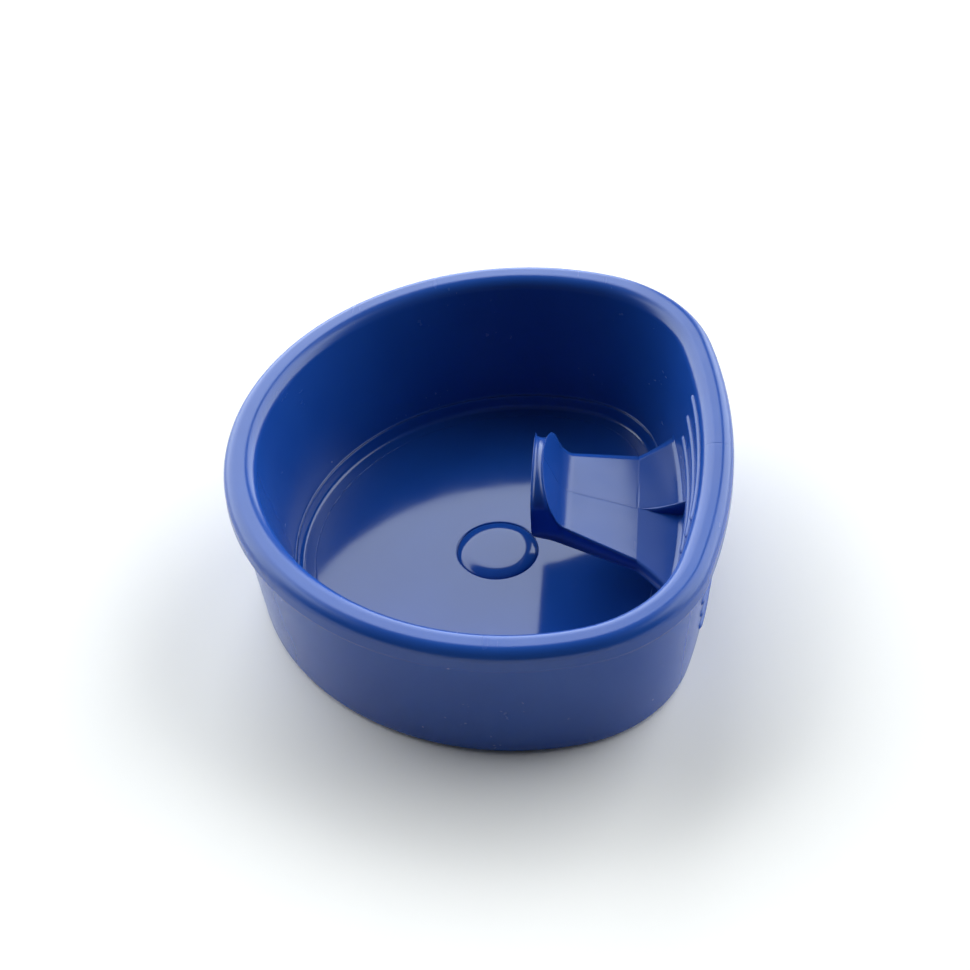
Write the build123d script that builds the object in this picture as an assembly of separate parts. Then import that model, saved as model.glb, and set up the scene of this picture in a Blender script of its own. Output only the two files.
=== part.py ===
"""Folding camp cup, packed flat: a low D-shaped bowl with its thumb shelf folded inside.

The real cup is one flexible moulding. Each node below is one working zone of it, cut where
the moulding changes job: rim, walls, foot, fold line, floor, gate button, grip ribs, handle.

Frame: +X runs to the flat grip side, +Y across, +Z up. The origin is on the table, under the
middle of the cup's length and width. Units are millimetres.
"""
from build123d import *
from math import acos, atan2, cos, degrees, pi, radians, sin, tan
import os

# Driving dimensions
WIDTH = 100.0          # over the rim, along Y
LENGTH = 87.2          # over the rim, along X
HEIGHT = 27.9
GRIP_RADIUS = 110.0    # plan radius of the gently bowed grip side
CORNER_RADIUS = 28.0   # plan radius of the two corners beside it
RIM_DEPTH = 4.4        # height of the rim bead
WALL_TOP_INSET = 1.5   # rim bead's overhang over the wall
WALL_FOOT_INSET = 3.7  # wall's outer face at the foot, inwards from the rim
INNER_TOP_INSET = 6.2
INNER_FOOT_INSET = 10.3
FOOT_HEIGHT = 3.0
FLOOR_INSET = 13.4     # edge of the floor panel
FLOOR_BOTTOM = 0.6
FLOOR_TOP = 1.8
BUTTON_RADIUS = 7.2
BUTTON_X = 2.3         # middle of the gate button
BUTTON_RISE = 0.65     # height of its dome
HINGE_X = 27.2         # where the handle bends
HINGE_Z = 11.5
HINGE_THICKNESS = 2.1  # the plate thickens from here to the lip
WEB_SLOPE = 8.0        # degrees, from the wall up to the bend
PLATE_SLOPE = 17.6     # upper face, from the bend up to the lip
UNDER_SLOPE = 14.0     # lower face
LIP_SLOPE = 69.0       # inner face of the lip, whose outer face stands upright

# Outline: one back arc, two corner arcs and one grip arc, all tangent
back_radius = WIDTH / 2
back_x = back_radius - LENGTH / 2
grip_x = LENGTH / 2 - GRIP_RADIUS
corner_reach = GRIP_RADIUS - CORNER_RADIUS
back_reach = back_radius - CORNER_RADIUS
centre_gap = back_x - grip_x
grip_angle = acos((corner_reach**2 + centre_gap**2 - back_reach**2) / (2 * corner_reach * centre_gap))
corner_x = grip_x + corner_reach * cos(grip_angle)
corner_y = corner_reach * sin(grip_angle)
back_angle = atan2(corner_y, corner_x - back_x)

GRIP = (grip_x, 0.0, GRIP_RADIUS, -grip_angle, grip_angle)
LEFT_CORNER = (corner_x, corner_y, CORNER_RADIUS, grip_angle, back_angle)
RIGHT_CORNER = (corner_x, -corner_y, CORNER_RADIUS, -back_angle, -grip_angle)
BACK = (back_x, 0.0, back_radius, back_angle, 2 * pi - back_angle)
LOOP = (GRIP, LEFT_CORNER, BACK, RIGHT_CORNER)

wall_top = HEIGHT - RIM_DEPTH
wall_rise = wall_top - FOOT_HEIGHT
outer_lean = (WALL_FOOT_INSET - WALL_TOP_INSET) / wall_rise
inner_lean = (INNER_FOOT_INSET - INNER_TOP_INSET) / wall_rise


def outer_inset(z):
    """How far the wall's outer face lies inside the rim at height z."""
    return WALL_TOP_INSET + (wall_top - z) * outer_lean


def inner_inset(z):
    """How far the wall's inner face lies inside the rim at height z."""
    return INNER_TOP_INSET + (wall_top - z) * inner_lean


def carry(points, sector, rounds=()):
    """Turn a section of (inset, z) points along one arc of the outline, with rounded corners."""
    x, y, radius, start, end = sector
    section = make_face(Polyline([(radius - inset, z) for inset, z in points], close=True))
    for index, round_radius in rounds:
        inset, z = points[index]
        corner = section.vertices().sort_by_distance((radius - inset, z, 0))[0]
        section = fillet(corner, round_radius)
    solid = revolve(Plane.XZ * section, Axis.Z, degrees(end - start))
    return Pos(x, y, 0) * Rot(0, 0, degrees(start)) * solid


def ring(points, rounds=()):
    """Carry a section all the way round the outline."""
    arcs = [carry(points, sector, rounds) for sector in LOOP]
    whole = arcs[0]
    for arc in arcs[1:]:
        whole = whole + arc
    return whole.clean()


def outline_face(inset):
    """Flat face inside the outline at z = 0."""
    edges = [
        CenterArc((x, y), radius - inset, degrees(start), degrees(end - start))
        for x, y, radius, start, end in LOOP
    ]
    return make_face(edges)


def save(name, shape):
    """Write one node as parts/NAME.step."""
    shape.label = name
    export_step(shape, os.path.join("parts", name + ".step"))


# Rim bead: domed top, rounded outer edge, small step down to the wall
def rim_bead():
    top_inner = inner_inset(HEIGHT)
    points = [(INNER_TOP_INSET, wall_top), (top_inner, HEIGHT), (0.0, HEIGHT), (0.0, wall_top)]
    return ring(points, rounds=((1, 2.3), (2, 1.9), (3, 0.8)))


# Walls: four lengths of one leaning wall
def wall(sector):
    points = [
        (outer_inset(FOOT_HEIGHT), FOOT_HEIGHT),
        (outer_inset(wall_top), wall_top),
        (inner_inset(wall_top), wall_top),
        (inner_inset(FOOT_HEIGHT), FOOT_HEIGHT),
    ]
    return carry(points, sector)


# Foot: the ring that the cup stands on
def foot_ring():
    points = [
        (WALL_FOOT_INSET, FOOT_HEIGHT),
        (WALL_FOOT_INSET + 0.3, 0.0),
        (INNER_FOOT_INSET - 0.4, 0.0),
        (INNER_FOOT_INSET, FOOT_HEIGHT),
    ]
    return ring(points, rounds=((1, 1.8), (2, 0.4)))


# Fold line: thin raised web between wall and floor, where the cup turns inside out
FOLD_TOP = 5.2
FOLD_GAP = 0.1


def fold_ring():
    inner_edge = FLOOR_INSET - FOLD_GAP
    points = [
        (inner_inset(FOLD_TOP), FOLD_TOP),
        (inner_inset(FOLD_TOP) + 0.8, FOLD_TOP - 0.3),
        (FLOOR_INSET - 1.7, FLOOR_TOP + 0.5),
        (inner_edge, FLOOR_TOP),
        (inner_edge, FLOOR_BOTTOM),
        (FLOOR_INSET - 2.4, FLOOR_TOP - 0.4),
        (inner_inset(FOOT_HEIGHT + 0.4), FOOT_HEIGHT + 0.4),
    ]
    return ring(points, rounds=((1, 0.4), (2, 1.2)))


# Floor and its gate button
def floor_panel():
    panel = extrude(Pos(0, 0, FLOOR_BOTTOM) * outline_face(FLOOR_INSET), FLOOR_TOP - FLOOR_BOTTOM)
    hole = Pos(BUTTON_X, 0, FLOOR_TOP) * Cylinder(BUTTON_RADIUS, HEIGHT)
    return panel - hole


def gate_button():
    """Disc with a shallow dome, domed from the same radius all over."""
    dome_radius = (BUTTON_RADIUS**2 + BUTTON_RISE**2) / (2 * BUTTON_RISE)
    disc = Pos(BUTTON_X, 0, FLOOR_BOTTOM) * Cylinder(
        BUTTON_RADIUS, HEIGHT, align=(Align.CENTER, Align.CENTER, Align.MIN)
    )
    return disc & (Pos(BUTTON_X, 0, FLOOR_TOP + BUTTON_RISE - dome_radius) * Sphere(dome_radius))


# Grip ribs: three on each face of the grip wall
RIB_HALF_WIDTH = 0.5
RIB_HEIGHT = 0.45
INNER_RIBS = {"inner_rib_low": (16.3, 17.0), "inner_rib_middle": (20.6, 17.4), "inner_rib_top": (24.9, 17.6)}
OUTER_RIBS = {"outer_rib_low": (4.2, 22.0), "outer_rib_middle": (8.7, 23.5), "outer_rib_top": (13.2, 25.0)}


def rib(z, half_length, inset_at, outward):
    """Low ridge along the grip wall, half_length each side of the middle."""
    proud = -RIB_HEIGHT if outward else RIB_HEIGHT
    crest = 0.5 * RIB_HALF_WIDTH
    points = [
        (inset_at(z - RIB_HALF_WIDTH), z - RIB_HALF_WIDTH),
        (inset_at(z - crest) + proud, z - crest),
        (inset_at(z + crest) + proud, z + crest),
        (inset_at(z + RIB_HALF_WIDTH), z + RIB_HALF_WIDTH),
    ]
    reach = half_length / GRIP_RADIUS
    return carry(points, (grip_x, 0.0, GRIP_RADIUS, -reach, reach))


# Handle: sloping plate with a curled lip, drawn in side view and cut to its plan shape
hinge_radius = HINGE_THICKNESS / 2
CURL_X = 14.2          # where the plate's upper face and the lip's inner face would cross
CURL_RADIUS = 4.2
HEEL_X = 9.3           # the lip's outer face
HEEL_RADIUS = 1.2
TIP_Z = 25.6
SPLIT_X = 17.0         # plate to lip
ROOT_X = 39.0          # beyond the wall's inner face, trimmed to it
LIP_HALF_WIDTH = 10.8
LIP_ARCH = 5.6         # height of the lip's rounded end
HINGE_GAP = 0.08
GUSSET_THICKNESS = 0.9


def rise(x, slope):
    """Height gained from the bending line to x on a face of the given slope."""
    return (HINGE_X - x) * tan(radians(slope))


def handle_side():
    """Side view of the whole handle, in (x, z)."""
    top = HINGE_Z + hinge_radius
    bottom = HINGE_Z - hinge_radius
    curl_z = top + rise(CURL_X, PLATE_SLOPE)
    tip_x = CURL_X - (TIP_Z - curl_z) / tan(radians(LIP_SLOPE))
    points = [
        (ROOT_X, top + rise(ROOT_X, WEB_SLOPE)),
        (HINGE_X, top),
        (CURL_X, curl_z),
        (tip_x, TIP_Z),
        (HEEL_X, TIP_Z),
        (HEEL_X, bottom + rise(HEEL_X, UNDER_SLOPE)),
        (HINGE_X, bottom),
        (ROOT_X, bottom + rise(ROOT_X, WEB_SLOPE)),
    ]
    face = make_face(Polyline(points, close=True))
    for index, round_radius in ((2, CURL_RADIUS), (3, 0.6), (4, 0.8), (5, HEEL_RADIUS)):
        corner = face.vertices().sort_by_distance((*points[index], 0))[0]
        face = fillet(corner, round_radius)
    return face


def handle_plan():
    """Plan of the handle: slow taper from the hinge to the lip, quick flare to the wall."""
    taper = [(8.0, 10.7), (14.0, LIP_HALF_WIDTH), (HINGE_X, 14.4), (33.2, 21.0), (ROOT_X, 26.0)]
    loop = taper + [(x, -y) for x, y in reversed(taper)]
    return make_face(Polyline(loop, close=True))


def slab(x_low, x_high):
    """Everything between two X positions."""
    return Pos((x_low + x_high) / 2, 0, HEIGHT / 2) * Box(x_high - x_low, WIDTH, 2 * HEIGHT)


def handle_blank():
    side = extrude(Plane.XZ * handle_side(), WIDTH / 2, both=True)
    plan = extrude(handle_plan(), HEIGHT)
    return side & plan


def inside_of_wall():
    """Space inside the grip wall's inner face, for trimming what meets it."""
    depth = 30.0
    points = [(inner_inset(0.0), 0.0), (inner_inset(HEIGHT), HEIGHT), (depth, HEIGHT), (depth, 0.0)]
    return carry(points, GRIP)


def hinge_round(radius):
    """Cylinder on the bending line."""
    return Pos(HINGE_X, 0, HINGE_Z) * Rot(90, 0, 0) * Cylinder(radius, WIDTH)


def hinge_web(blank):
    """Root of the handle, hollowed to clear the handle's rounded end as it bends."""
    root = blank & slab(HINGE_X + 0.45, ROOT_X)
    return (root & inside_of_wall()) - hinge_round(hinge_radius + HINGE_GAP)


def handle_saddle(blank):
    plate = blank & slab(SPLIT_X, HINGE_X)
    knuckle = hinge_round(hinge_radius) & (blank & slab(HINGE_X - 2.0, HINGE_X + 2.0))
    return (plate + knuckle).clean()


def handle_lip(blank):
    """Curled end, rounded to a half ellipse in end view."""
    curl = blank & slab(0.0, SPLIT_X)
    arch_base = TIP_Z - LIP_ARCH
    arch = extrude(Plane.YZ * Pos(0, arch_base) * Ellipse(LIP_HALF_WIDTH, LIP_ARCH), HEIGHT)
    below = Pos(0, 0, arch_base - HEIGHT / 2) * Box(WIDTH, WIDTH, HEIGHT)
    return curl & (arch + below)


def gusset_rib():
    """Small fin on the middle line, in the corner between handle and wall."""
    start = HINGE_X + 0.8
    end = 36.5
    web_top = HINGE_Z + hinge_radius
    side = Polyline(
        [
            (start, web_top + rise(start, WEB_SLOPE)),
            (31.6, 12.8),
            (33.6, 14.1),
            (end, 15.3),
            (end, web_top + rise(end, WEB_SLOPE)),
        ],
        close=True,
    )
    fin = extrude(Plane.XZ * make_face(side), GUSSET_THICKNESS / 2, both=True)
    return fin & inside_of_wall()


def main():
    os.makedirs("parts", exist_ok=True)
    save("rim_bead", rim_bead())
    save("grip_wall", wall(GRIP))
    save("left_corner_wall", wall(LEFT_CORNER))
    save("right_corner_wall", wall(RIGHT_CORNER))
    save("round_wall", wall(BACK))
    save("foot_ring", foot_ring())
    save("fold_ring", fold_ring())
    save("floor_panel", floor_panel())
    save("gate_button", gate_button())
    for name, (z, half_length) in INNER_RIBS.items():
        save(name, rib(z, half_length, inner_inset, outward=False))
    for name, (z, half_length) in OUTER_RIBS.items():
        save(name, rib(z, half_length, outer_inset, outward=True))
    blank = handle_blank()
    save("hinge_web", hinge_web(blank))
    save("handle_saddle", handle_saddle(blank))
    save("handle_lip", handle_lip(blank))
    save("gusset_rib", gusset_rib())


main()
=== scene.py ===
"""Folding camp cup, packed flat, in satin blue elastomer: its surfaces, finish, table and light.

Shapes are worked out in millimetres in the CAD's own frame, +X to the flat grip side and +Z up,
and scaled to metres where a mesh is made. The shell, the floor and the handle are each drawn as
one continuous surface, and then cut into the CAD's zones, so that neighbours share their edges
and shading. Every zone is closed by flat faces that lie hidden against its neighbour. The grip
ribs and the gusset are small meshes of their own, with their bases sunk into what they stand on.
"""
from functools import partial
from math import acos, atan2, ceil, cos, hypot, pi, radians, sin, sqrt, tan

import bpy
import numpy as np
from mathutils import Matrix, Vector


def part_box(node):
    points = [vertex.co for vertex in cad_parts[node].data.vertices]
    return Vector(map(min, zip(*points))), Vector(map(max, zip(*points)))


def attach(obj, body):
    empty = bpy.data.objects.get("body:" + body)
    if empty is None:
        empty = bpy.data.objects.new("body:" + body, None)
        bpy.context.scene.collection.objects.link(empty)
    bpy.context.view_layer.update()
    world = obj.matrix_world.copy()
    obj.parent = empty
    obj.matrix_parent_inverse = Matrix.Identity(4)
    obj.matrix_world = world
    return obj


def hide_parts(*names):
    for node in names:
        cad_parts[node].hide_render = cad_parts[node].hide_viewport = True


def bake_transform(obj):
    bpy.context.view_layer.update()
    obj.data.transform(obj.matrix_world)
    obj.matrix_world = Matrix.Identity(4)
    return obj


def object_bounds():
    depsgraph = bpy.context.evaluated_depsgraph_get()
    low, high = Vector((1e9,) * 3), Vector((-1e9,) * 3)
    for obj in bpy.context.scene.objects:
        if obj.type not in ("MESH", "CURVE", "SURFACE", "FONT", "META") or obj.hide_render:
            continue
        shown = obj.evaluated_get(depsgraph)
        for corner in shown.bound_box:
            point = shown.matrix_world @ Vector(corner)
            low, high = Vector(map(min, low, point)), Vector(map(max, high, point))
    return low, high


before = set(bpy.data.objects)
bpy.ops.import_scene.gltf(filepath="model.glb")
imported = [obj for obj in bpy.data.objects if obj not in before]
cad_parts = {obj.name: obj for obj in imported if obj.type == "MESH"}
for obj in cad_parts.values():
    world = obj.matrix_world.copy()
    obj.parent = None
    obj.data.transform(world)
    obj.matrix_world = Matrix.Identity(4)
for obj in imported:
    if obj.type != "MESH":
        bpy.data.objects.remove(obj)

cad_low, cad_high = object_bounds()

MM = 0.001

# Driving dimensions, in millimetres
LENGTH = (cad_high.x - cad_low.x) / MM
WIDTH = (cad_high.y - cad_low.y) / MM
HEIGHT = cad_high.z / MM
GRIP_RADIUS = 110.0
CORNER_RADIUS = 28.0
WALL_TOP = 23.5            # the rim bead's underside
WALL_TOP_INSET = 1.5       # the rim bead's overhang
WALL_FOOT_INSET = 3.7
INNER_TOP_INSET = 6.2
INNER_FOOT_INSET = 10.3
FOOT_TOP = 3.0
FLOOR_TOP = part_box("floor_panel")[1].z / MM
FLOOR_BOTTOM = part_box("floor_panel")[0].z / MM
FLOOR_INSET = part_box("floor_panel")[0].x / MM + LENGTH / 2
STATION_STEP = 1.0         # along the outline
ROUND_STEP = 0.22          # along a rounded corner
ROUND_SUPPORT = 0.15       # extra point this far before and after it, to keep its shading tight


# Outline: one back arc, two corner arcs and one grip arc, all tangent
back_radius = WIDTH / 2
back_x = back_radius - LENGTH / 2
grip_x = LENGTH / 2 - GRIP_RADIUS
corner_reach = GRIP_RADIUS - CORNER_RADIUS
back_reach = back_radius - CORNER_RADIUS
centre_gap = back_x - grip_x
grip_cosine = (corner_reach**2 + centre_gap**2 - back_reach**2) / (2 * corner_reach * centre_gap)
grip_angle = acos(grip_cosine)
corner_x = grip_x + corner_reach * cos(grip_angle)
corner_y = corner_reach * sin(grip_angle)
back_angle = atan2(corner_y, corner_x - back_x)

GRIP = (grip_x, 0.0, GRIP_RADIUS, -grip_angle, grip_angle)
LEFT_CORNER = (corner_x, corner_y, CORNER_RADIUS, grip_angle, back_angle)
BACK = (back_x, 0.0, back_radius, back_angle, 2 * pi - back_angle)
RIGHT_CORNER = (corner_x, -corner_y, CORNER_RADIUS, -back_angle, -grip_angle)
LOOP = {
    "grip_wall": GRIP,
    "left_corner_wall": LEFT_CORNER,
    "round_wall": BACK,
    "right_corner_wall": RIGHT_CORNER,
}

wall_rise = WALL_TOP - FOOT_TOP
outer_lean = (WALL_FOOT_INSET - WALL_TOP_INSET) / wall_rise
inner_lean = (INNER_FOOT_INSET - INNER_TOP_INSET) / wall_rise


def outer_inset(z):
    """How far the wall's outer face lies inside the rim at height z."""
    return WALL_TOP_INSET + (WALL_TOP - z) * outer_lean


def inner_inset(z):
    """How far the wall's inner face lies inside the rim at height z."""
    return INNER_TOP_INSET + (WALL_TOP - z) * inner_lean


# Mesh tools
def vertex_normals(points, faces):
    """Smooth normal at every point of a surface."""
    mesh = bpy.data.meshes.new("normals")
    mesh.from_pydata(points, [], faces)
    normals = np.array([vertex.normal for vertex in mesh.vertices])
    bpy.data.meshes.remove(mesh)
    return normals


def grid_faces(index, closed=False):
    """Quads over a grid of point numbers, [station][place]; repeated numbers make triangles."""
    rows = list(index) + ([index[0]] if closed else [])
    faces = []
    for row, following in zip(rows, rows[1:]):
        for place in range(len(row) - 1):
            corners = (row[place], row[place + 1], following[place + 1], following[place])
            face = tuple(dict.fromkeys(int(corner) for corner in corners))
            if len(face) > 2:
                faces.append(face)
    return faces


def make_piece(name, points, normals, skin, caps, material, nodes=None):
    """Closed mesh from smooth skin faces and flat hidden caps, standing for CAD nodes."""
    faces = skin + caps
    used = sorted({corner for face in faces for corner in face})
    place = {old: new for new, old in enumerate(used)}
    mesh = bpy.data.meshes.new(name)
    compact = [tuple(place[corner] for corner in face) for face in faces]
    mesh.from_pydata(np.asarray(points)[used] * MM, [], compact)
    smooth = [True] * len(skin) + [False] * len(caps)
    mesh.polygons.foreach_set("use_smooth", smooth)
    flat = (0.0, 0.0, 0.0)
    corner_normals = [
        tuple(normals[corner]) if is_smooth else flat
        for face, is_smooth in zip(faces, smooth)
        for corner in face
    ]
    mesh.normals_split_custom_set(corner_normals)
    mesh.materials.append(material)
    piece = bpy.data.objects.new(name, mesh)
    bpy.context.scene.collection.objects.link(piece)
    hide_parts(*(nodes or [name]))
    return piece


def rounded_path(corners):
    """Open path of straight runs joined by arcs, through (inset, z, radius) corners."""
    points = [np.array(corners[0][:2])]
    for before, corner, after in zip(corners, corners[1:], corners[2:]):
        tip = np.array(corner[:2])
        back = np.array(before[:2]) - tip
        ahead = np.array(after[:2]) - tip
        back /= np.linalg.norm(back)
        ahead /= np.linalg.norm(ahead)
        half = acos(np.clip(back @ ahead, -1, 1)) / 2
        radius = corner[2]
        cut = radius / tan(half)
        start = tip + back * cut
        centre = tip + (back + ahead) / np.linalg.norm(back + ahead) * radius / sin(half)
        turn = pi - 2 * half
        if back[0] * ahead[1] - back[1] * ahead[0] > 0:
            turn = -turn
        count = max(3, ceil(radius * abs(turn) / ROUND_STEP))
        points.append(start + back * ROUND_SUPPORT)
        for step in range(count + 1):
            angle = turn * step / count
            arm = start - centre
            points.append(centre + np.array([
                arm[0] * cos(angle) - arm[1] * sin(angle),
                arm[0] * sin(angle) + arm[1] * cos(angle),
            ]))
        points.append(tip + ahead * (cut + ROUND_SUPPORT))
    points.append(np.array(corners[-1][:2]))
    return points


# Shell: one section carried round the outline
RIDGE_TOP = 4.3            # small ledge where the wall ends above the fold
RIDGE_INSET = 10.45
RISER_INSET = 11.0         # foot of the riser under the ledge
GROOVE_ROOF = 3.4          # top of the groove on the underside, between foot and fold
SEAM_DEPTH = 0.02          # fine line where the fold meets the floor panel
SEAM_HALF_WIDTH = 0.12
MARK_DEPTH = 0.05          # fine mark across the rim on the middle line
MARK_HALF_WIDTH = 0.16
MARK_DROP = 1.0            # how far below the rim's top it reaches
MARK_MARGIN = 0.8          # how far inside the rim's outer face it stops

# Corners of the section, from the floor's top edge over the rim to its bottom edge:
# inset from the rim's outer face, height, and radius of the rounded corner
SECTION = [
    (FLOOR_INSET, FLOOR_TOP - SEAM_DEPTH, 0),
    (FLOOR_INSET - SEAM_HALF_WIDTH, FLOOR_TOP, 0.1),
    (RISER_INSET, FLOOR_TOP, 0.8),
    (RIDGE_INSET, RIDGE_TOP - 0.05, 0.3),
    (inner_inset(RIDGE_TOP), RIDGE_TOP, 0.25),
    (inner_inset(HEIGHT), HEIGHT, 2.4),
    (0.0, HEIGHT, 2.1),
    (0.0, WALL_TOP, 0.8),
    (WALL_TOP_INSET, WALL_TOP, 0.35),
    (WALL_FOOT_INSET, FOOT_TOP, 12.0),
    (WALL_FOOT_INSET + 0.3, 0.0, 1.6),
    (INNER_FOOT_INSET - 0.4, 0.0, 0.4),
    (INNER_FOOT_INSET + 0.1, GROOVE_ROOF, 0.3),
    (RISER_INSET + 0.5, FLOOR_BOTTOM, 0.9),
    (FLOOR_INSET, FLOOR_BOTTOM, 0),
]


def arc_angles(arc):
    """Angles of the stations along one arc, up to but without its end."""
    _, _, radius, start, end = arc
    count = 2 * ceil(radius * (end - start) / STATION_STEP / 2)
    angles = [start + (end - start) * step / count for step in range(count)]
    if arc is GRIP:
        fine = MARK_HALF_WIDTH / radius
        angles += [-2 * fine, -fine, fine, 2 * fine]
    return sorted(angles)


def shell_surface():
    """Points [station][place] of the shell's section, and where each arc's stations begin."""
    path = rounded_path(SECTION)
    rows = []
    starts = {}
    for name, arc in LOOP.items():
        x, y, radius, _, _ = arc
        starts[name] = len(rows)
        for angle in arc_angles(arc):
            rows.append([
                (x + (radius - inset) * cos(angle), y + (radius - inset) * sin(angle), z)
                for inset, z in path
            ])
            if arc is GRIP and abs(angle) < 1e-9:
                press_rim_mark(rows[-1])
    return np.array(rows), path, starts


def press_rim_mark(row):
    """Sink one station of the rim's top a little: the fine mark on the middle line."""
    for place, (x, y, z) in enumerate(row):
        if z > HEIGHT - MARK_DROP and x < LENGTH / 2 - MARK_MARGIN:
            row[place] = (x, y, z - MARK_DEPTH)


def nearest(path, inset, z, after=0):
    """Number of the path's point nearest to a place, searching from point number after."""
    reach = [hypot(p[0] - inset, p[1] - z) for p in path[after:]]
    return after + int(np.argmin(reach))


def build_shell(satin, gloss):
    surface, path, starts = shell_surface()
    stations, places = surface.shape[:2]
    points = surface.reshape(-1, 3)
    index = np.arange(stations * places).reshape(stations, places)
    normals = vertex_normals(points, grid_faces(index, closed=True))

    ledge = nearest(path, inner_inset(RIDGE_TOP), RIDGE_TOP)
    inner_top = nearest(path, inner_inset(WALL_TOP), WALL_TOP, ledge)
    outer_top = nearest(path, WALL_TOP_INSET - 0.2, WALL_TOP, inner_top + 3)
    outer_foot = nearest(path, WALL_FOOT_INSET, FOOT_TOP, outer_top)
    roof = nearest(path, INNER_FOOT_INSET + 0.1, GROOVE_ROOF, outer_foot + 3)

    def zone(name, runs, material, rows=index, closed=True):
        """Piece made of runs of the section over some stations; each run is (first, last)."""
        skin = []
        caps = []
        for number, (first, last) in enumerate(runs):
            skin += grid_faces([row[first:last + 1] for row in rows], closed)
            following = runs[(number + 1) % len(runs)][0]
            caps += grid_faces([(row[last], row[following]) for row in rows], closed)
        if not closed:
            loop = [place for first, last in runs for place in range(first, last + 1)]
            caps.append(tuple(int(rows[0][place]) for place in reversed(loop)))
            caps.append(tuple(int(rows[-1][place]) for place in loop))
        return make_piece(name, points, normals, skin, caps, material)

    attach(zone("rim_bead", [(inner_top, outer_top)], satin), "cup_shell")
    walls = list(LOOP)
    for number, name in enumerate(walls):
        first = starts[name]
        last = starts.get(walls[number + 1], stations) if number + 1 < len(walls) else stations
        rows = [index[row % stations] for row in range(first, last + 1)]
        runs = [(ledge, inner_top), (outer_top, outer_foot), (roof, roof)]
        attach(zone(name, runs, satin, rows, closed=False), "cup_shell")
    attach(zone("foot_ring", [(outer_foot, roof)], satin), "cup_shell")
    fold = zone("fold_ring", [(0, ledge), (roof, places - 1)], gloss)
    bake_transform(fold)
    return surface[:, 0], surface[:, -1]


# Floor and gate button: rings that change from the outline to a circle
BUTTON_RADIUS = 7.2
BUTTON_RISE = 0.65
BUTTON_GROOVE = 0.3        # depth of the groove round the button, below the floor
BUTTON_SHOULDER = 2.4      # width of its rounded edge
BUTTON_CROWN = 0.12        # rise of its slight crown, from the outer radius to the middle
BUTTON_BLUNTNESS = 1.6     # exponent of the edge's curve; 2 would be a quarter ellipse
GATE_RADIUS = 0.8          # small stub on the underside, where the plastic came in
GATE_DROP = 0.35
# Edge of the button's hole, as distance outside it and depth below the floor
HOLE_EDGE = [(0.4, 0.0), (0.18, 0.0), (0.05, 0.05), (0.0, 0.15), (0.0, BUTTON_GROOVE)]
button_low, button_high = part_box("gate_button")
button_x = (button_low.x + button_high.x) / 2 / MM


def button_height(radius):
    """Height of the button's top: a slight crown with a rounded shoulder down into the groove."""
    crown = BUTTON_CROWN * (1 - (radius / BUTTON_RADIUS) ** 2)
    drop = max(0.0, radius - (BUTTON_RADIUS - BUTTON_SHOULDER)) / BUTTON_SHOULDER
    edge = BUTTON_RISE + BUTTON_GROOVE - BUTTON_CROWN
    return FLOOR_TOP - BUTTON_GROOVE + crown + edge * sqrt(max(0.0, 1 - drop**BUTTON_BLUNTNESS))


def gate_drop(radius):
    """How far the underside reaches down near the gate stub."""
    return GATE_DROP * max(0.0, 1 - (radius / GATE_RADIUS) ** 4)


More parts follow.
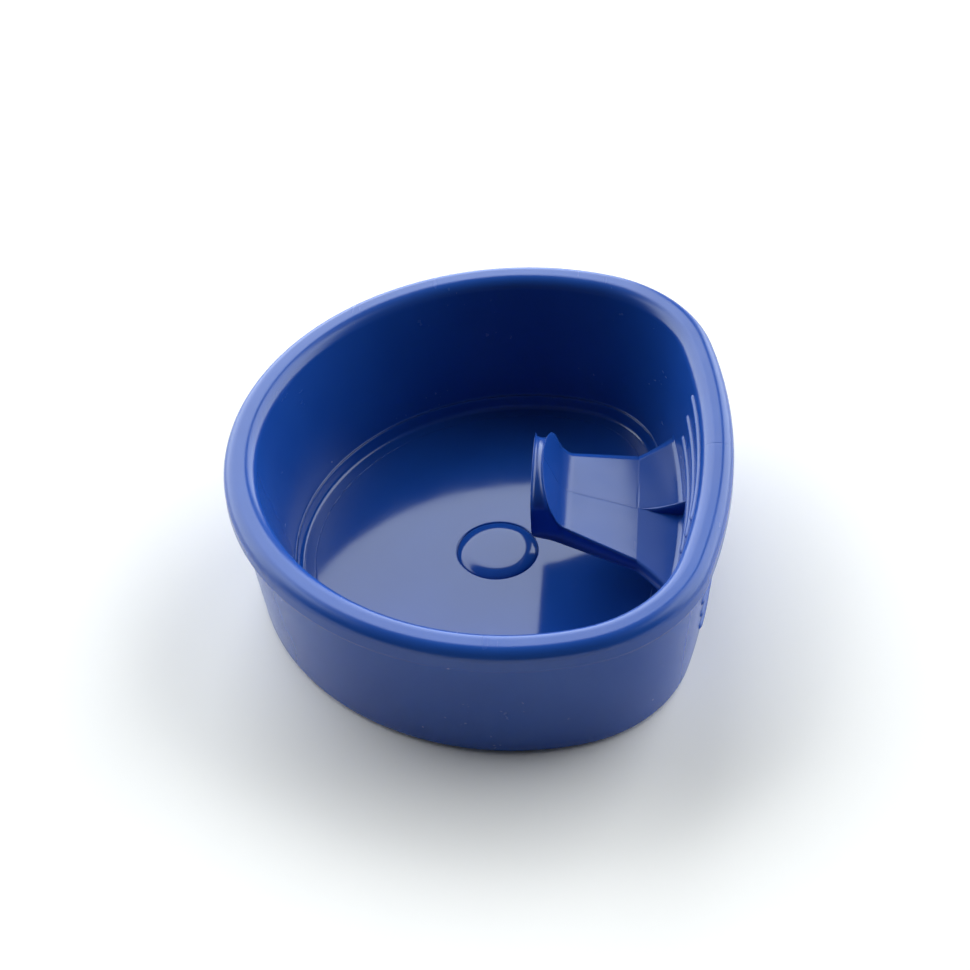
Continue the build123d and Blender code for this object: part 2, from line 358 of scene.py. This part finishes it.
def build_floor(gloss, edge_top, edge_bottom):
    middle = np.array([button_x, 0.0])
    arms = edge_top[:, :2] - middle
    reach = np.linalg.norm(arms, axis=1)
    arms /= reach[:, None]

    def ring(distance, z):
        """Points at a distance from the button's middle, one for each station."""
        flat = middle + arms * np.reshape(distance, (-1, 1))
        return np.column_stack([flat, np.full(len(flat), z)])

    hole = BUTTON_RADIUS
    steps = np.linspace(0, 1, 14)[1:-1]
    panel_rings = [edge_top, ring(reach - SEAM_HALF_WIDTH, FLOOR_TOP), ring(reach - 0.3, FLOOR_TOP)]
    panel_rings += [ring(reach + (hole - reach) * share, FLOOR_TOP) for share in steps]
    panel_rings += [ring(hole + outside, FLOOR_TOP - depth) for outside, depth in HOLE_EDGE]
    seam = len(panel_rings) - 1
    shoulder = [BUTTON_RADIUS - BUTTON_SHOULDER * share**2 for share in np.linspace(0, 1, 16)]
    crown = list(np.linspace(shoulder[-1], 0.3, 9)[1:])
    button_rings = [ring(radius, button_height(radius)) for radius in shoulder[1:] + crown]
    under_radii = [0.2, 0.4, 0.6, 0.7, GATE_RADIUS, 1.0, 3.0, 5.5]
    under_rings = [ring(radius, FLOOR_BOTTOM - gate_drop(radius)) for radius in under_radii]
    under_rings += [ring(hole, FLOOR_BOTTOM), ring(hole + 0.3, FLOOR_BOTTOM)]
    under_seam = len(panel_rings) + len(button_rings) + len(under_rings)
    under_rings += [ring(reach + (hole - reach) * share, FLOOR_BOTTOM) for share in steps[::-1]]
    under_rings += [ring(reach - 0.3, FLOOR_BOTTOM), edge_bottom]

    rings = panel_rings + button_rings + under_rings
    stations = len(edge_top)
    points = np.concatenate(rings)
    index = np.arange(len(points)).reshape(len(rings), stations).T
    # The two middle points close the button's top and underside
    top_middle = len(points)
    under_middle = top_middle + 1
    points = np.vstack([
        points,
        [button_x, 0, button_height(0)],
        [button_x, 0, FLOOR_BOTTOM - gate_drop(0)],
    ])
    button_last = len(panel_rings) + len(button_rings)
    top = np.column_stack([index[:, :button_last], np.full(stations, top_middle)])
    under = np.column_stack([np.full(stations, under_middle), index[:, button_last:]])
    skins = grid_faces(top, closed=True) + grid_faces(under, closed=True)
    normals = vertex_normals(points, skins)

    under_hole = under_seam - 1 - button_last
    panel_skin = grid_faces(top[:, :seam + 1], closed=True)
    panel_skin += grid_faces(under[:, under_hole:], closed=True)
    panel_caps = grid_faces(np.column_stack([top[:, seam], under[:, under_hole]]), closed=True)
    panel_caps += grid_faces(np.column_stack([under[:, -1], top[:, 0]]), closed=True)
    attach(make_piece("floor_panel", points, normals, panel_skin, panel_caps, gloss), "floor")
    button_skin = grid_faces(top[:, seam:], closed=True)
    button_skin += grid_faces(under[:, :under_hole + 1], closed=True)
    button_caps = grid_faces(np.column_stack([under[:, under_hole], top[:, seam]]), closed=True)
    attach(make_piece("gate_button", points, normals, button_skin, button_caps, gloss), "floor")


# Grip ribs: low rounded ridges along the grip wall
RIB_HALF_WIDTH = 0.5
RIB_HEIGHT = 0.45
RIB_ROOT = 0.15            # how deep a rib's hidden base sits in the wall
RIB_END = 1.2              # length of its rounded end
RIB_EXTRA = 0.4            # added to the CAD rib's half width
RIB_STEPS = 14             # points across a rib


def build_rib(name, inset_at, outward, satin):
    """Rib on one face of the grip wall.

    Its half length is counted along the outline's radius, though it comes from the CAD rib's
    width across, so each end stops 0.4 to 0.8 mm short of the CAD's.
    """
    low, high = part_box(name)
    middle_z = (low.z + high.z) / 2 / MM
    half_length = high.y / MM + RIB_EXTRA
    side = -1 if outward else 1
    stations = [-half_length + 2 * half_length * step / 100 for step in range(101)]
    fine = [half_length - RIB_END * share for share in (0.02, 0.08, 0.2, 0.4, 0.7)]
    stations = sorted(stations[2:-2] + fine + [-place for place in fine])
    rows = []
    for along in stations:
        into_end = max(0.0, (abs(along) - (half_length - RIB_END)) / RIB_END)
        size = sqrt(max(0.0, 1 - into_end**2))
        angle = along / GRIP_RADIUS
        row = []
        for step in range(RIB_STEPS + 1):
            turn = pi * step / RIB_STEPS
            z = middle_z - RIB_HALF_WIDTH * size * cos(turn) * side
            proud = (RIB_HEIGHT + RIB_ROOT) * size * sin(turn) - RIB_ROOT
            radius = GRIP_RADIUS - (inset_at(z) + side * proud)
            row.append((grip_x + radius * cos(angle), radius * sin(angle), z))
        rows.append(row)
    points = np.array(rows).reshape(-1, 3)
    index = np.arange(len(points)).reshape(len(rows), RIB_STEPS + 1)
    skin = grid_faces(index)
    caps = grid_faces(np.column_stack([index[:, -1], index[:, 0]]))
    caps.append(tuple(int(corner) for corner in reversed(index[0])))
    caps.append(tuple(int(corner) for corner in index[-1]))
    rib = make_piece(name, points, vertex_normals(points, skin), skin, caps, satin)
    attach(rib, "cup_shell")


# Handle: sloping plate, quick flare to the wall, upturned lip with a heel and a rounded end
HINGE_X = 27.2
HINGE_Z = 11.5
HINGE_THICKNESS = 2.1
WEB_SLOPE = 8.0            # degrees, from the wall up to the bend
PLATE_SLOPE = 17.6         # upper face, from the bend up to the lip
UNDER_SLOPE = 14.0         # lower face
LIP_SLOPE = 69.0           # inner face of the lip
CURL_X = 14.2              # where the plate's upper face and the lip's inner face would cross
CURL_RADIUS = 4.2
HEEL_X = 9.3               # the lip's upright outer face
HEEL_RADIUS = 1.2
TIP_Z = 25.6
LIP_HALF_WIDTH = 10.8
LIP_ARCH = 5.6             # height of the lip's rounded end
HINGE_HALF_WIDTH = 14.4
WALL_HALF_WIDTH = 21.4
TAPER_END_X = 14.0         # from the bend to here the plate narrows to the lip's width
EDGE_REACH = 0.9           # width of the handle's rounded border
EDGE_STEPS = 8
EDGE_BLUNTNESS = 0.85      # exponent of the border's oval; 1 would be a plain ellipse
ROOT_DEPTH = 0.7           # how far the root runs into the wall
ROOT_FILLET = 0.4
ROOT_LENGTH = 8.0          # from the bend to the wall, roughly
SPLIT_X = 17.0             # plate to lip
CURVE_STEPS = 16           # along the curl and along the heel
LIP_STEPS = 24             # from the curl to the tip
PARTING_HALF_WIDTH = 0.14
PARTING_DEPTH = 0.07
WITNESS_LENGTH = 5.0       # fine line along the bend, to one side of the parting line
hinge_top = HINGE_Z + HINGE_THICKNESS / 2
hinge_bottom = HINGE_Z - HINGE_THICKNESS / 2

# Rows of points from the wall (1) to the bend (0), closer together at both ends
ROOT_SHARES = [1.0, 0.98, 0.96, 0.94, 0.91, 0.87, 0.82, 0.75, 0.66]
ROOT_SHARES += [0.56, 0.46, 0.36, 0.26, 0.17, 0.09]
ROOT_SHARES += [2 * PARTING_HALF_WIDTH / ROOT_LENGTH, PARTING_HALF_WIDTH / ROOT_LENGTH]


def rise(x, slope):
    """Height gained from the bending line to x on a face of the given slope."""
    return (HINGE_X - x) * tan(radians(slope))


def even_path(path, count):
    """Points evenly spaced along a path of (x, z) points."""
    path = np.array(path)
    runs = np.concatenate([[0.0], np.cumsum(np.linalg.norm(np.diff(path, axis=0), axis=1))])
    places = np.linspace(0, runs[-1], count)
    return np.column_stack([np.interp(places, runs, path[:, axis]) for axis in (0, 1)])


def handle_profile():
    """Upper and lower face of the plate and lip in side view, in pairs from bend to tip."""
    curl_z = hinge_top + rise(CURL_X, PLATE_SLOPE)
    turn = radians(LIP_SLOPE - PLATE_SLOPE)
    cut = CURL_RADIUS * tan(turn / 2)
    plate = radians(PLATE_SLOPE)
    start = np.array([CURL_X + cut * cos(plate), curl_z - cut * sin(plate)])
    curl = []
    for step in range(CURVE_STEPS + 1):
        slope = plate + turn * step / CURVE_STEPS
        across = sin(plate) - sin(slope)
        upward = cos(plate) - cos(slope)
        curl.append(start + CURL_RADIUS * np.array([across, upward]))
    heel_z = hinge_bottom + rise(HEEL_X, UNDER_SLOPE)
    heel_turn = radians(90 - UNDER_SLOPE)
    heel_cut = HEEL_RADIUS * tan(heel_turn / 2)
    heel = []
    for step in range(CURVE_STEPS + 1):
        slope = radians(UNDER_SLOPE) + heel_turn * step / CURVE_STEPS
        heel.append((
            HEEL_X + HEEL_RADIUS * (1 - sin(slope)),
            heel_z + heel_cut - HEEL_RADIUS * cos(slope),
        ))
    under_start = (CURL_X - 0.4, hinge_bottom + rise(CURL_X - 0.4, UNDER_SLOPE))
    outer_start = (HEEL_X, curl[-1][1])

    upper = [(HINGE_X, hinge_top)]
    lower = [(HINGE_X, hinge_bottom)]
    for along in (PARTING_HALF_WIDTH, 2 * PARTING_HALF_WIDTH):
        x = HINGE_X - along
        upper.append((x, hinge_top + rise(x, PLATE_SLOPE)))
        lower.append((x, hinge_bottom + rise(x, UNDER_SLOPE)))
    upper += even_path([upper[-1], curl[0]], 15)[1:].tolist()
    lower += even_path([lower[-1], under_start], 15)[1:].tolist()
    upper += even_path(curl, 25)[1:].tolist()
    lower += even_path([under_start] + heel + [outer_start], 25)[1:].tolist()
    height = TIP_Z - EDGE_REACH - curl[-1][1]
    for step in range(1, LIP_STEPS + 1):
        lift = height * sin(pi / 2 * step / LIP_STEPS)
        upper.append((curl[-1][0] - lift / tan(radians(LIP_SLOPE)), curl[-1][1] + lift))
        lower.append((HEEL_X, curl[-1][1] + lift))
    return upper, lower


def plate_width(x):
    """Half width of the plate or the lip at x, less its rounded border."""
    taper = (HINGE_HALF_WIDTH - LIP_HALF_WIDTH) / (HINGE_X - TAPER_END_X)
    return LIP_HALF_WIDTH - EDGE_REACH + (max(x, TAPER_END_X) - TAPER_END_X) * taper


def wall_face_x(y):
    """Where the grip wall's inner face is, at the handle's height."""
    radius = GRIP_RADIUS - inner_inset(HINGE_Z)
    return grip_x + sqrt(radius**2 - y**2)


def handle_columns(width):
    """Places across the handle, close together at the middle for the parting line."""
    near = [0.0, min(PARTING_HALF_WIDTH, 0.1 * width), min(2 * PARTING_HALF_WIDTH, 0.2 * width)]
    side = near + list(np.linspace(near[-1], width, 13)[1:])
    return [-place for place in reversed(side[1:])] + side


def handle_faces():
    """Rows of points on the handle's upper and lower face, from wall to tip."""
    top = []
    bottom = []
    hinge_width = plate_width(HINGE_X)
    for share in ROOT_SHARES:
        width = hinge_width + (WALL_HALF_WIDTH - EDGE_REACH - hinge_width) * share
        top_row = []
        bottom_row = []
        for y in handle_columns(width):
            face_x = wall_face_x(y)
            x = HINGE_X + (face_x + ROOT_DEPTH - HINGE_X) * share
            gap = min(max(face_x - x, 0.0), ROOT_FILLET)
            fillet = ROOT_FILLET - sqrt(ROOT_FILLET**2 - (ROOT_FILLET - gap) ** 2)
            top_row.append((x, y, hinge_top + rise(x, WEB_SLOPE) + fillet))
            bottom_row.append((x, y, hinge_bottom + rise(x, WEB_SLOPE) - fillet))
        top.append(top_row)
        bottom.append(bottom_row)
    arch_base = TIP_Z - LIP_ARCH
    for upper, lower in zip(*handle_profile()):
        middle_x = (upper[0] + lower[0]) / 2
        middle_z = (upper[1] + lower[1]) / 2
        up_arch = max(0.0, (middle_z - arch_base) / (LIP_ARCH - EDGE_REACH))
        width = plate_width(middle_x) * sqrt(max(0.0, 1 - up_arch**2))
        columns = handle_columns(width)
        top.append([(upper[0], y, upper[1]) for y in columns])
        bottom.append([(lower[0], y, lower[1]) for y in columns])
    return np.array(top), np.array(bottom), len(ROOT_SHARES)


def unit(vectors):
    """Vectors at length one."""
    return vectors / np.maximum(np.linalg.norm(vectors, axis=-1, keepdims=True), 1e-12)


def border_strips(middle, up, thickness, side):
    """Rounded border along one side: a blunt half oval about the middle surface's edge."""
    column = -1 if side > 0 else 0
    border = middle[:, column]
    lift = up[:, column]
    run = unit(np.gradient(border, axis=0))
    out = unit(np.cross(lift, run) * side)
    strips = []
    for step in range(1, EDGE_STEPS):
        turn = pi / 2 - pi * step / EDGE_STEPS
        reach = EDGE_REACH * cos(turn) ** EDGE_BLUNTNESS
        height = thickness[:, column] * abs(sin(turn)) ** EDGE_BLUNTNESS * (1 if turn > 0 else -1)
        strips.append(border + out * reach + lift * height[:, None])
    return strips


def close_tip(row, columns):
    """Last row of point numbers, where each face is one point wide and both borders are one."""
    tip = row.copy()
    bottom = columns + EDGE_STEPS - 1
    tip[:columns] = tip[0]
    tip[bottom:bottom + columns] = tip[bottom]
    for step in range(EDGE_STEPS - 1):
        tip[-1 - step] = tip[columns + step]
    return tip


def build_handle(satin):
    top, bottom, hinge_row = handle_faces()
    count, columns = top.shape[:2]
    middle = (top + bottom) / 2
    up = unit(top - bottom)
    thickness = np.linalg.norm(top - bottom, axis=-1) / 2
    # Fine parting line along the middle, and a short witness line along the bend
    depth = np.zeros((count, columns))
    depth[:, columns // 2] = PARTING_DEPTH
    across = top[hinge_row, :, 1]
    depth[hinge_row, (across > 0) & (across < WITNESS_LENGTH)] = PARTING_DEPTH
    top = top - up * depth[..., None]

    left = border_strips(middle, up, thickness, 1)
    right = border_strips(middle, up, thickness, -1)
    # One closed loop of points at each row: top from right to left, left edge, bottom, right edge
    loops = [top[:, column] for column in range(columns)]
    loops += left
    loops += [bottom[:, column] for column in reversed(range(columns))]
    loops += right[::-1]
    surface = np.stack(loops, axis=1)
    places = surface.shape[1]
    points = surface.reshape(-1, 3)
    index = np.arange(count * places).reshape(count, places)
    index[-1] = close_tip(index[-1], columns)
    closed_rows = [[row[0], *row[::-1]] for row in index]
    skin = grid_faces(closed_rows)
    normals = vertex_normals(points, skin)

    split_row = hinge_row + int(np.argmin(abs(middle[hinge_row:, columns // 2, 0] - SPLIT_X)))
    zones = {
        "hinge_web": (0, hinge_row),
        "handle_saddle": (hinge_row, split_row),
        "handle_lip": (split_row, count - 1),
    }
    for name, (first, last) in zones.items():
        rows = closed_rows[first:last + 1]
        caps = [tuple(int(corner) for corner in rows[0][:-1])]
        if name != "handle_lip":
            caps.append(tuple(int(corner) for corner in reversed(rows[-1][:-1])))
        piece = make_piece(name, points, normals, grid_faces(rows), caps, satin)
        if name == "handle_lip":
            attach(piece, "handle")
        else:
            bend_with_handle(piece)


def bend_with_handle(piece):
    """Bake the piece's placement into its mesh, where it stays; it neither follows a body nor
    bends.
    """
    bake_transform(piece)


# Gusset: small fin on the handle's root that curves up to the wall
GUSSET_HALF_WIDTH = 0.5
GUSSET_START = 27.9
GUSSET_RISE = 3.1          # above the handle, at the wall
GUSSET_ROOT = 0.3          # how deep its hidden base sits in the handle
GUSSET_INSERT = 0.5        # how far its end runs into the wall
GUSSET_STEPS = 12          # points across it
GUSSET_ROWS = 24           # along it


def build_gusset(satin):
    end_x = wall_face_x(0) + GUSSET_INSERT
    rows = []
    for step in range(GUSSET_ROWS + 1):
        share = step / GUSSET_ROWS
        x = GUSSET_START + (end_x - GUSSET_START) * share
        base = hinge_top + rise(x, WEB_SLOPE)
        crest = 0.02 + GUSSET_RISE * share**1.5
        width = GUSSET_HALF_WIDTH * min(1.0, 0.25 + 2.5 * share)
        row = []
        for place in range(GUSSET_STEPS + 1):
            turn = pi * place / GUSSET_STEPS
            y = -width * cos(turn)
            z = base - GUSSET_ROOT + (crest + GUSSET_ROOT) * sin(turn) ** 0.6
            row.append((x, y, z))
        rows.append(row)
    points = np.array(rows).reshape(-1, 3)
    index = np.arange(len(points)).reshape(len(rows), GUSSET_STEPS + 1)
    skin = grid_faces(index[:, ::-1])
    caps = grid_faces(np.column_stack([index[:, 0], index[:, -1]]))
    caps.append(tuple(int(corner) for corner in index[0]))
    caps.append(tuple(int(corner) for corner in reversed(index[-1])))
    gusset = make_piece("gusset_rib", points, vertex_normals(points, skin), skin, caps, satin)
    bend_with_handle(gusset)


# Shader nodes
def math_node(tree, operation, first, second):
    """Output of a math node; each input is a number or another node's output."""
    node = tree.nodes.new("ShaderNodeMath")
    node.operation = operation
    for socket, value in zip(node.inputs, (first, second)):
        if isinstance(value, (int, float)):
            socket.default_value = value
        else:
            tree.links.new(value, socket)
    return node.outputs["Value"]


def map_range(tree, interpolation, value, from_low, from_high, to_low=0.0, to_high=1.0):
    """Output of a node that carries one range of values over to another."""
    node = tree.nodes.new("ShaderNodeMapRange")
    node.interpolation_type = interpolation
    for socket, number in zip(node.inputs[1:5], (from_low, from_high, to_low, to_high)):
        socket.default_value = number
    tree.links.new(value, node.inputs["Value"])
    return node.outputs["Result"]


# Finish: one blue elastomer, satin on the walls and glossier on the floor
DEEP_BLUE = (0.0085, 0.055, 0.280, 1.0)
LIGHT_BLUE = (0.0105, 0.064, 0.310, 1.0)
DUST = (0.16, 0.24, 0.45, 1.0)


def elastomer(name, roughness, scuffs):
    """Moulded elastomer: soft colour drift, fine grain, faint scuffs and a few dust specks."""
    material = bpy.data.materials.new(name)
    material.use_nodes = True
    tree = material.node_tree
    nodes = tree.nodes
    links = tree.links
    math = partial(math_node, tree)
    remap = partial(map_range, tree, "LINEAR")
    shader = nodes["Principled BSDF"]
    shader.inputs["IOR"].default_value = 1.45
    place = nodes.new("ShaderNodeTexCoord").outputs["Object"]

    def noise(scale, detail, vector=place):
        node = nodes.new("ShaderNodeTexNoise")
        node.inputs["Scale"].default_value = scale
        node.inputs["Detail"].default_value = detail
        links.new(vector, node.inputs["Vector"])
        return node.outputs["Fac"]

    def mix(share, first, second):
        node = nodes.new("ShaderNodeMix")
        node.data_type = "RGBA"
        links.new(share, node.inputs["Factor"])
        for socket, colour in ((node.inputs[6], first), (node.inputs[7], second)):
            if isinstance(colour, tuple):
                socket.default_value = colour
            else:
                links.new(colour, socket)
        return node.outputs[2]

    # Scuffs are thin streaks: noise drawn out along two directions, the stronger one kept
    streaks = None
    for turn in (0.5, 2.1):
        squeeze = nodes.new("ShaderNodeMapping")
        squeeze.inputs["Rotation"].default_value = (0, 0, turn)
        squeeze.inputs["Scale"].default_value = (1.0, 0.045, 1.0)
        links.new(place, squeeze.inputs["Vector"])
        streak = remap(noise(900, 2, squeeze.outputs["Vector"]), 0.66, 0.78)
        streaks = streak if streaks is None else math("MAXIMUM", streaks, streak)
    patches = remap(noise(70, 2), 0.45, 0.62)
    scuff = math("MULTIPLY", streaks, patches)

    # Dust specks: the middles of small cells, kept only where a noise is high
    cells = nodes.new("ShaderNodeTexVoronoi")
    cells.inputs["Scale"].default_value = 260
    links.new(place, cells.inputs["Vector"])
    dots = remap(cells.outputs["Distance"], 0.025, 0.045, 1.0, 0.0)
    chosen = remap(noise(180, 1), 0.68, 0.71)
    dust = math("MULTIPLY", dots, chosen)

    drift = remap(noise(45, 3), 0.35, 0.65)
    blue = mix(drift, DEEP_BLUE, LIGHT_BLUE)
    links.new(mix(dust, blue, DUST), shader.inputs["Base Color"])

    uneven = remap(noise(160, 4), 0.3, 0.7, roughness * 0.88, roughness * 1.14)
    rough = math("ADD", uneven, math("MULTIPLY", scuff, scuffs))
    links.new(math("ADD", rough, math("MULTIPLY", dust, 0.4)), shader.inputs["Roughness"])

    grain = noise(2600, 2)
    waves = noise(120, 1)
    height = math("ADD", math("MULTIPLY", grain, 0.012), math("MULTIPLY", waves, 0.25))
    height = math("ADD", height, math("MULTIPLY", dust, 0.3))
    height = math("SUBTRACT", height, math("MULTIPLY", scuff, 0.02))
    bump = nodes.new("ShaderNodeBump")
    bump.inputs["Strength"].default_value = 0.35
    bump.inputs["Distance"].default_value = 0.0002
    links.new(height, bump.inputs["Height"])
    links.new(bump.outputs["Normal"], shader.inputs["Normal"])
    return material


# Table: a plain matt sheet
TABLE_HALF = 2.0               # metres
TABLE_COLOUR = (0.90, 0.84, 0.78, 1.0)


def build_table():
    mesh = bpy.data.meshes.new("table")
    corners = [(x, y, 0) for x in (-TABLE_HALF, TABLE_HALF) for y in (-TABLE_HALF, TABLE_HALF)]
    mesh.from_pydata(corners, [], [(0, 2, 3, 1)])
    material = bpy.data.materials.new("pale_table")
    material.use_nodes = True
    shader = material.node_tree.nodes["Principled BSDF"]
    shader.inputs["Base Color"].default_value = TABLE_COLOUR
    shader.inputs["Roughness"].default_value = 0.6
    mesh.materials.append(material)
    table = bpy.data.objects.new("table", mesh)
    bpy.context.scene.collection.objects.link(table)


# Light: a sky that is bright behind the cup and beside it, up to about 50 degrees, with one dark
# gap to the right; dim overhead and on the camera's side
SKY_COLOUR = (0.91, 1.0, 1.07, 1.0)
SKY_BRIGHT = 4.4
SKY_DIM = 0.07
SKY_HEIGHT = (0.88, 0.76)      # upward part of the direction where the band starts, and is full
SKY_SIDE = (-0.35, 0.35)       # backward part where it starts, and is full
GAP_LEFT = (0.03, 0.12)        # sideways over backward part, where the gap starts and is full
GAP_RIGHT = (0.42, 0.30)


def build_light():
    world = bpy.data.worlds.new("soft_sky")
    bpy.context.scene.world = world
    world.use_nodes = True
    tree = world.node_tree
    nodes = tree.nodes
    links = tree.links
    math = partial(math_node, tree)
    ramp = partial(map_range, tree, "SMOOTHSTEP")

    split = nodes.new("ShaderNodeSeparateXYZ")
    links.new(nodes.new("ShaderNodeTexCoord").outputs["Generated"], split.inputs[0])
    aside, backward, upward = split.outputs
    band = math("MULTIPLY", ramp(upward, *SKY_HEIGHT), ramp(backward, *SKY_SIDE))
    bearing = math("DIVIDE", aside, math("MAXIMUM", backward, 0.01))
    gap = math("MULTIPLY", ramp(bearing, *GAP_LEFT), ramp(bearing, *GAP_RIGHT))
    lit = math("MULTIPLY", band, math("SUBTRACT", 1.0, gap))
    background = nodes["Background"]
    background.inputs["Color"].default_value = SKY_COLOUR
    links.new(ramp(lit, 0.0, 1.0, SKY_DIM, SKY_BRIGHT), background.inputs["Strength"])


# Camera
CAMERA_AZIMUTH = radians(6.52)
CAMERA_ELEVATION = radians(42.56)
CAMERA_ROLL = radians(-3.71)
CAMERA_DISTANCE = 430.9
CAMERA_AIM = (-1.41, 19.05, 0.0)
CAMERA_LENS = 86.54


def build_camera():
    camera = bpy.data.objects.new("camera", bpy.data.cameras.new("camera"))
    bpy.context.scene.collection.objects.link(camera)
    bpy.context.scene.camera = camera
    back = Vector((
        sin(CAMERA_AZIMUTH) * cos(CAMERA_ELEVATION),
        -cos(CAMERA_AZIMUTH) * cos(CAMERA_ELEVATION),
        sin(CAMERA_ELEVATION),
    ))
    turn = (-back).to_track_quat("-Z", "Y").to_matrix() @ Matrix.Rotation(CAMERA_ROLL, 3, "Z")
    camera.rotation_euler = turn.to_euler()
    camera.location = (Vector(CAMERA_AIM) + back * CAMERA_DISTANCE) * MM
    camera.data.lens = CAMERA_LENS
    camera.data.clip_start = 0.01


def main():
    satin = elastomer("satin_elastomer", roughness=0.24, scuffs=0.05)
    gloss = elastomer("gloss_elastomer", roughness=0.10, scuffs=0.08)
    build_camera()
    edge_top, edge_bottom = build_shell(satin, gloss)
    build_floor(gloss, edge_top, edge_bottom)
    for name in ("inner_rib_low", "inner_rib_middle", "inner_rib_top"):
        build_rib(name, inner_inset, outward=False, satin=satin)
    for name in ("outer_rib_low", "outer_rib_middle", "outer_rib_top"):
        build_rib(name, outer_inset, outward=True, satin=satin)
    build_handle(satin)
    build_gusset(satin)
    build_table()
    build_light()
    bpy.context.scene.view_settings.view_transform = "Standard"


main()
